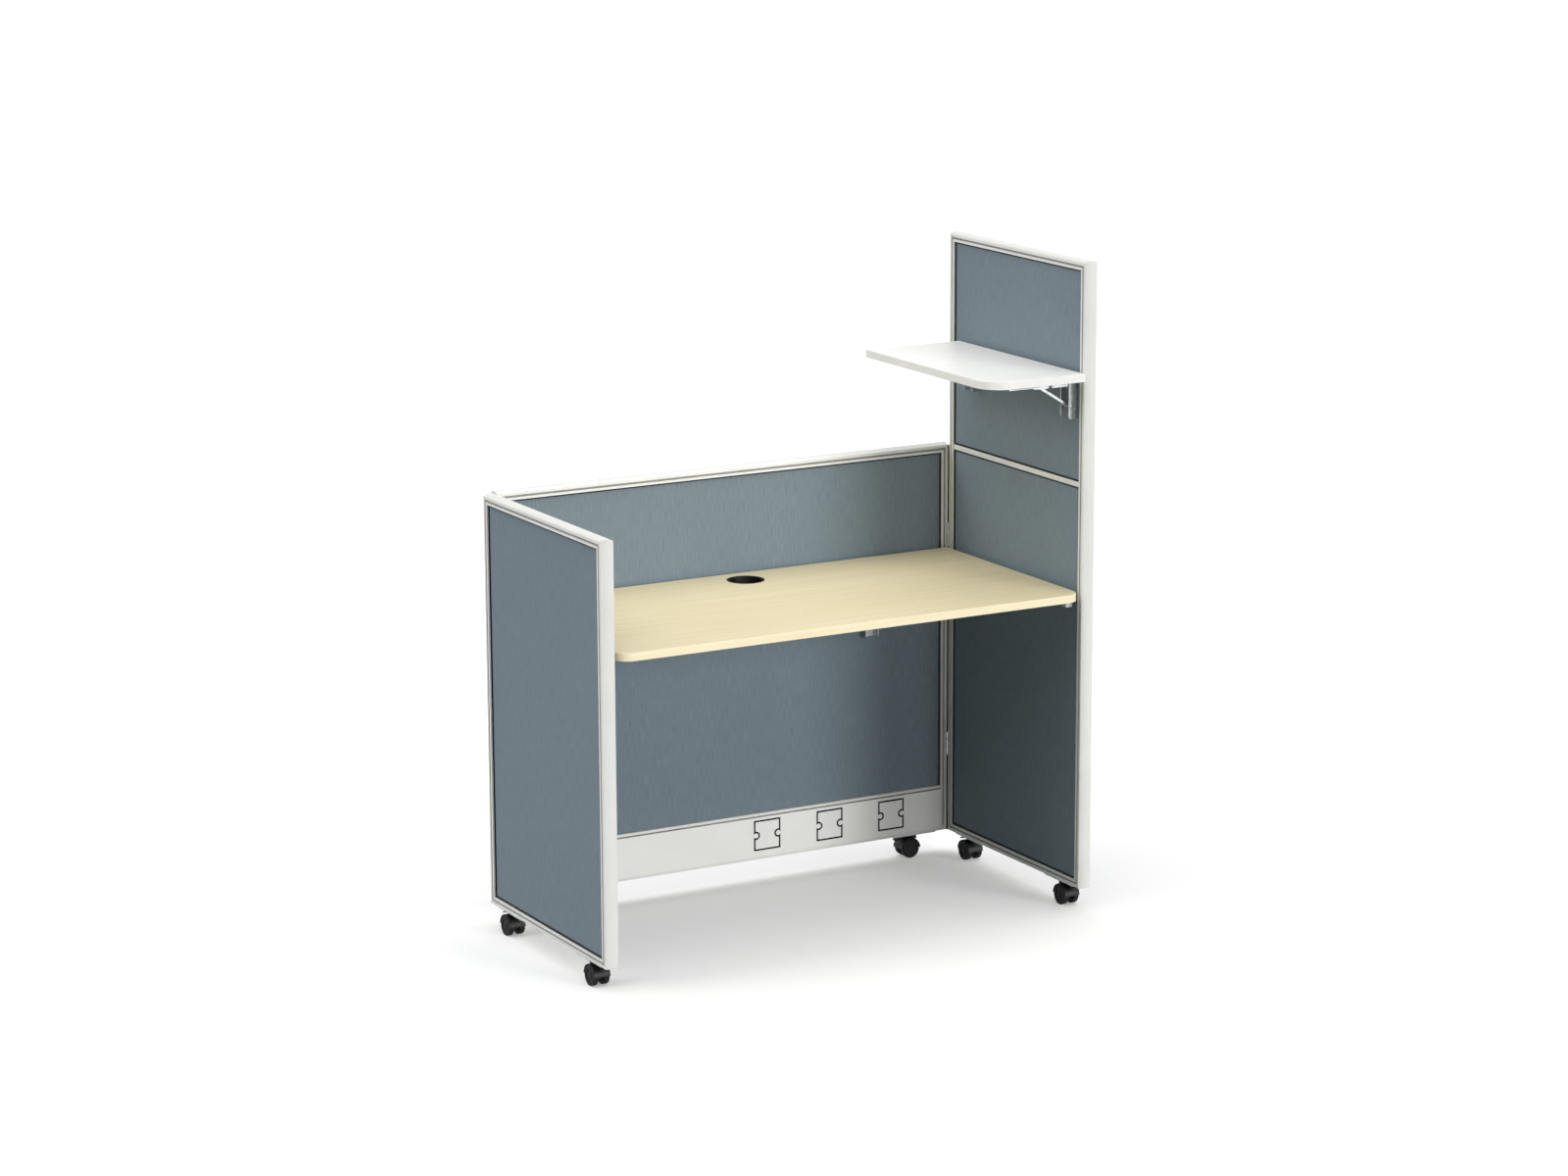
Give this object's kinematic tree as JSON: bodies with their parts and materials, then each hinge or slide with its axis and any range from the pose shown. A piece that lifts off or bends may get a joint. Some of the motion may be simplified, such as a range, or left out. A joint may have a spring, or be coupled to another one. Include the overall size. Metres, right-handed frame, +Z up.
{
  "type": "folding desk",
  "caption": "Freestanding desk booth: fabric panels hinged at the corners, on casters, with a fold-down desktop, a fold-down shelf on the tall side and a cable raceway.",
  "frame": {"origin": "on the floor, at the middle of the box round the desk", "axes": "+Z up, +X to the user's right along the back panel, +Y from the user towards the back panel"},
  "size_m": [1.25, 0.622, 1.5],
  "materials": {
    "frame_extrusion": "satin powder coat, warm white-grey",
    "domed_trim": "satin, warm white",
    "grey_fabric": "woven grey-blue cloth on board",
    "raceway_steel": "satin paint, light grey",
    "galvanised_steel": "bare",
    "bracket_steel": "bright zinc",
    "black_rubber": "matt",
    "maple_laminate": "pale maple laminate",
    "maple_edging": "pale maple edge band",
    "white_laminate": "white laminate",
    "white_edging": "white edge band",
    "black_plastic": "fine texture",
    "grey_plastic": "satin"
  },
  "bodies": {
    "back_panel": {"back_top_rail": "frame_extrusion", "back_bottom_rail": "frame_extrusion", "back_stiles": "frame_extrusion", "back_trim": "domed_trim", "back_front_tile": "grey_fabric", "back_rear_tile": "grey_fabric", "raceway_rail": "frame_extrusion", "raceway_cover": "raceway_steel", "socket_blanks": "raceway_steel", "raceway_trough": "galvanised_steel", "desk_legs": "bracket_steel", "back_caster_plates": "bracket_steel", "back_hinge_leaves": "bracket_steel", "hinge_pins": "bracket_steel", "corner_seals": "black_rubber"},
    "left_panel": {"left_top_rail": "frame_extrusion", "left_bottom_rail": "frame_extrusion", "left_stiles": "frame_extrusion", "left_trims": "domed_trim", "left_tiles": "grey_fabric", "left_caster_plates": "bracket_steel", "left_hinge_leaves": "bracket_steel"},
    "right_panel": {"right_top_rail": "frame_extrusion", "right_bottom_rail": "frame_extrusion", "right_stiles": "frame_extrusion", "right_crossbar": "frame_extrusion", "right_trims": "domed_trim", "right_lower_tiles": "grey_fabric", "right_upper_tiles": "grey_fabric", "shelf_legs": "bracket_steel", "right_caster_plates": "bracket_steel", "right_hinge_leaves": "bracket_steel"},
    "desk": {"desktop": "maple_laminate", "desktop_edging": "maple_edging", "grommet": "black_plastic", "desk_arms": "bracket_steel", "desk_stop": "grey_plastic"},
    "desk_strut_pair": {"desk_struts": "bracket_steel"},
    "shelf": {"shelf_board": "white_laminate", "shelf_edging": "white_edging", "shelf_arms": "bracket_steel"},
    "shelf_strut_pair": {"shelf_struts": "bracket_steel"},
    "left_front_swivel": {"left_front_caster_housing": "black_plastic"},
    "left_front_wheel_pair": {"left_front_caster_wheels": "black_plastic"},
    "left_front_brake": {"left_front_caster_lever": "black_plastic"},
    "left_rear_swivel": {"left_rear_caster_housing": "black_plastic"},
    "left_rear_wheel_pair": {"left_rear_caster_wheels": "black_plastic"},
    "left_rear_brake": {"left_rear_caster_lever": "black_plastic"},
    "right_front_swivel": {"right_front_caster_housing": "black_plastic"},
    "right_front_wheel_pair": {"right_front_caster_wheels": "black_plastic"},
    "right_front_brake": {"right_front_caster_lever": "black_plastic"},
    "right_rear_swivel": {"right_rear_caster_housing": "black_plastic"},
    "right_rear_wheel_pair": {"right_rear_caster_wheels": "black_plastic"},
    "right_rear_brake": {"right_rear_caster_lever": "black_plastic"},
    "back_left_swivel": {"back_left_caster_housing": "black_plastic"},
    "back_left_wheel_pair": {"back_left_caster_wheels": "black_plastic"},
    "back_left_brake": {"back_left_caster_lever": "black_plastic"},
    "back_right_swivel": {"back_right_caster_housing": "black_plastic"},
    "back_right_wheel_pair": {"back_right_caster_wheels": "black_plastic"},
    "back_right_brake": {"back_right_caster_lever": "black_plastic"}
  },
  "joints": [
    {"name": "left_panel_swing", "type": "hinge", "parent": "back_panel", "child": "left_panel", "pos_m": [-0.588, 0.275, 0.525], "axis": [0, 0, -1], "range_deg": [0, 90]},
    {"name": "right_panel_swing", "type": "hinge", "parent": "back_panel", "child": "right_panel", "pos_m": [0.588, 0.275, 0.525], "axis": [0, 0, 1], "range_deg": [0, 90]},
    {"name": "desktop_fold", "type": "hinge", "parent": "back_panel", "child": "desk", "pos_m": [0, 0.263, 0.724], "axis": [1, 0, 0], "range_deg": [0, 90]},
    {"name": "desk_strut_turn", "type": "hinge", "parent": "back_panel", "child": "desk_strut_pair", "pos_m": [0, 0.263, 0.614], "axis": [1, 0, 0], "range_deg": [0, 122]},
    {"name": "shelf_fold", "type": "hinge", "parent": "right_panel", "child": "shelf", "pos_m": [0.577, -0.043, 1.224], "axis": [0, -1, 0], "range_deg": [0, 90]},
    {"name": "shelf_strut_turn", "type": "hinge", "parent": "right_panel", "child": "shelf_strut_pair", "pos_m": [0.577, -0.043, 1.171], "axis": [0, -1, 0], "range_deg": [0, 122]},
    {"name": "left_front_swivel_turn", "type": "hinge", "parent": "left_panel", "child": "left_front_swivel", "pos_m": [-0.605, -0.211, 0.047], "axis": [0, 0, 1], "continuous": true},
    {"name": "left_front_wheel_spin", "type": "hinge", "parent": "left_front_swivel", "child": "left_front_wheel_pair", "pos_m": [-0.605, -0.225, 0.023], "axis": [-1, 0, 0], "continuous": true},
    {"name": "left_front_brake_press", "type": "hinge", "parent": "left_front_swivel", "child": "left_front_brake", "pos_m": [-0.605, -0.227, 0.0509], "axis": [1, 0, 0], "range_deg": [0, 8]},
    {"name": "left_rear_swivel_turn", "type": "hinge", "parent": "left_panel", "child": "left_rear_swivel", "pos_m": [-0.605, 0.181, 0.047], "axis": [0, 0, 1], "continuous": true},
    {"name": "left_rear_wheel_spin", "type": "hinge", "parent": "left_rear_swivel", "child": "left_rear_wheel_pair", "pos_m": [-0.605, 0.195, 0.023], "axis": [1, 0, 0], "continuous": true},
    {"name": "left_rear_brake_press", "type": "hinge", "parent": "left_rear_swivel", "child": "left_rear_brake", "pos_m": [-0.605, 0.197, 0.0509], "axis": [-1, 0, 0], "range_deg": [0, 8]},
    {"name": "right_front_swivel_turn", "type": "hinge", "parent": "right_panel", "child": "right_front_swivel", "pos_m": [0.605, -0.211, 0.047], "axis": [0, 0, 1], "continuous": true},
    {"name": "right_front_wheel_spin", "type": "hinge", "parent": "right_front_swivel", "child": "right_front_wheel_pair", "pos_m": [0.605, -0.225, 0.023], "axis": [-1, 0, 0], "continuous": true},
    {"name": "right_front_brake_press", "type": "hinge", "parent": "right_front_swivel", "child": "right_front_brake", "pos_m": [0.605, -0.227, 0.0509], "axis": [1, 0, 0], "range_deg": [0, 8]},
    {"name": "right_rear_swivel_turn", "type": "hinge", "parent": "right_panel", "child": "right_rear_swivel", "pos_m": [0.605, 0.181, 0.047], "axis": [0, 0, 1], "continuous": true},
    {"name": "right_rear_wheel_spin", "type": "hinge", "parent": "right_rear_swivel", "child": "right_rear_wheel_pair", "pos_m": [0.605, 0.195, 0.023], "axis": [1, 0, 0], "continuous": true},
    {"name": "right_rear_brake_press", "type": "hinge", "parent": "right_rear_swivel", "child": "right_rear_brake", "pos_m": [0.605, 0.197, 0.0509], "axis": [-1, 0, 0], "range_deg": [0, 8]},
    {"name": "back_left_swivel_turn", "type": "hinge", "parent": "back_panel", "child": "back_left_swivel", "pos_m": [-0.5, 0.291, 0.047], "axis": [0, 0, 1], "continuous": true},
    {"name": "back_left_wheel_spin", "type": "hinge", "parent": "back_left_swivel", "child": "back_left_wheel_pair", "pos_m": [-0.486, 0.291, 0.023], "axis": [0, -1, 0], "continuous": true},
    {"name": "back_left_brake_press", "type": "hinge", "parent": "back_left_swivel", "child": "back_left_brake", "pos_m": [-0.484, 0.291, 0.0509], "axis": [0, 1, 0], "range_deg": [0, 8]},
    {"name": "back_right_swivel_turn", "type": "hinge", "parent": "back_panel", "child": "back_right_swivel", "pos_m": [0.5, 0.291, 0.047], "axis": [0, 0, 1], "continuous": true},
    {"name": "back_right_wheel_spin", "type": "hinge", "parent": "back_right_swivel", "child": "back_right_wheel_pair", "pos_m": [0.486, 0.291, 0.023], "axis": [0, 1, 0], "continuous": true},
    {"name": "back_right_brake_press", "type": "hinge", "parent": "back_right_swivel", "child": "back_right_brake", "pos_m": [0.484, 0.291, 0.0509], "axis": [0, -1, 0], "range_deg": [0, 8]}
  ],
  "couplings": [
    {"joint": "desk_strut_turn", "follows": "desktop_fold", "ratio": 1.3556},
    {"joint": "shelf_strut_turn", "follows": "shelf_fold", "ratio": 1.3556}
  ]
}
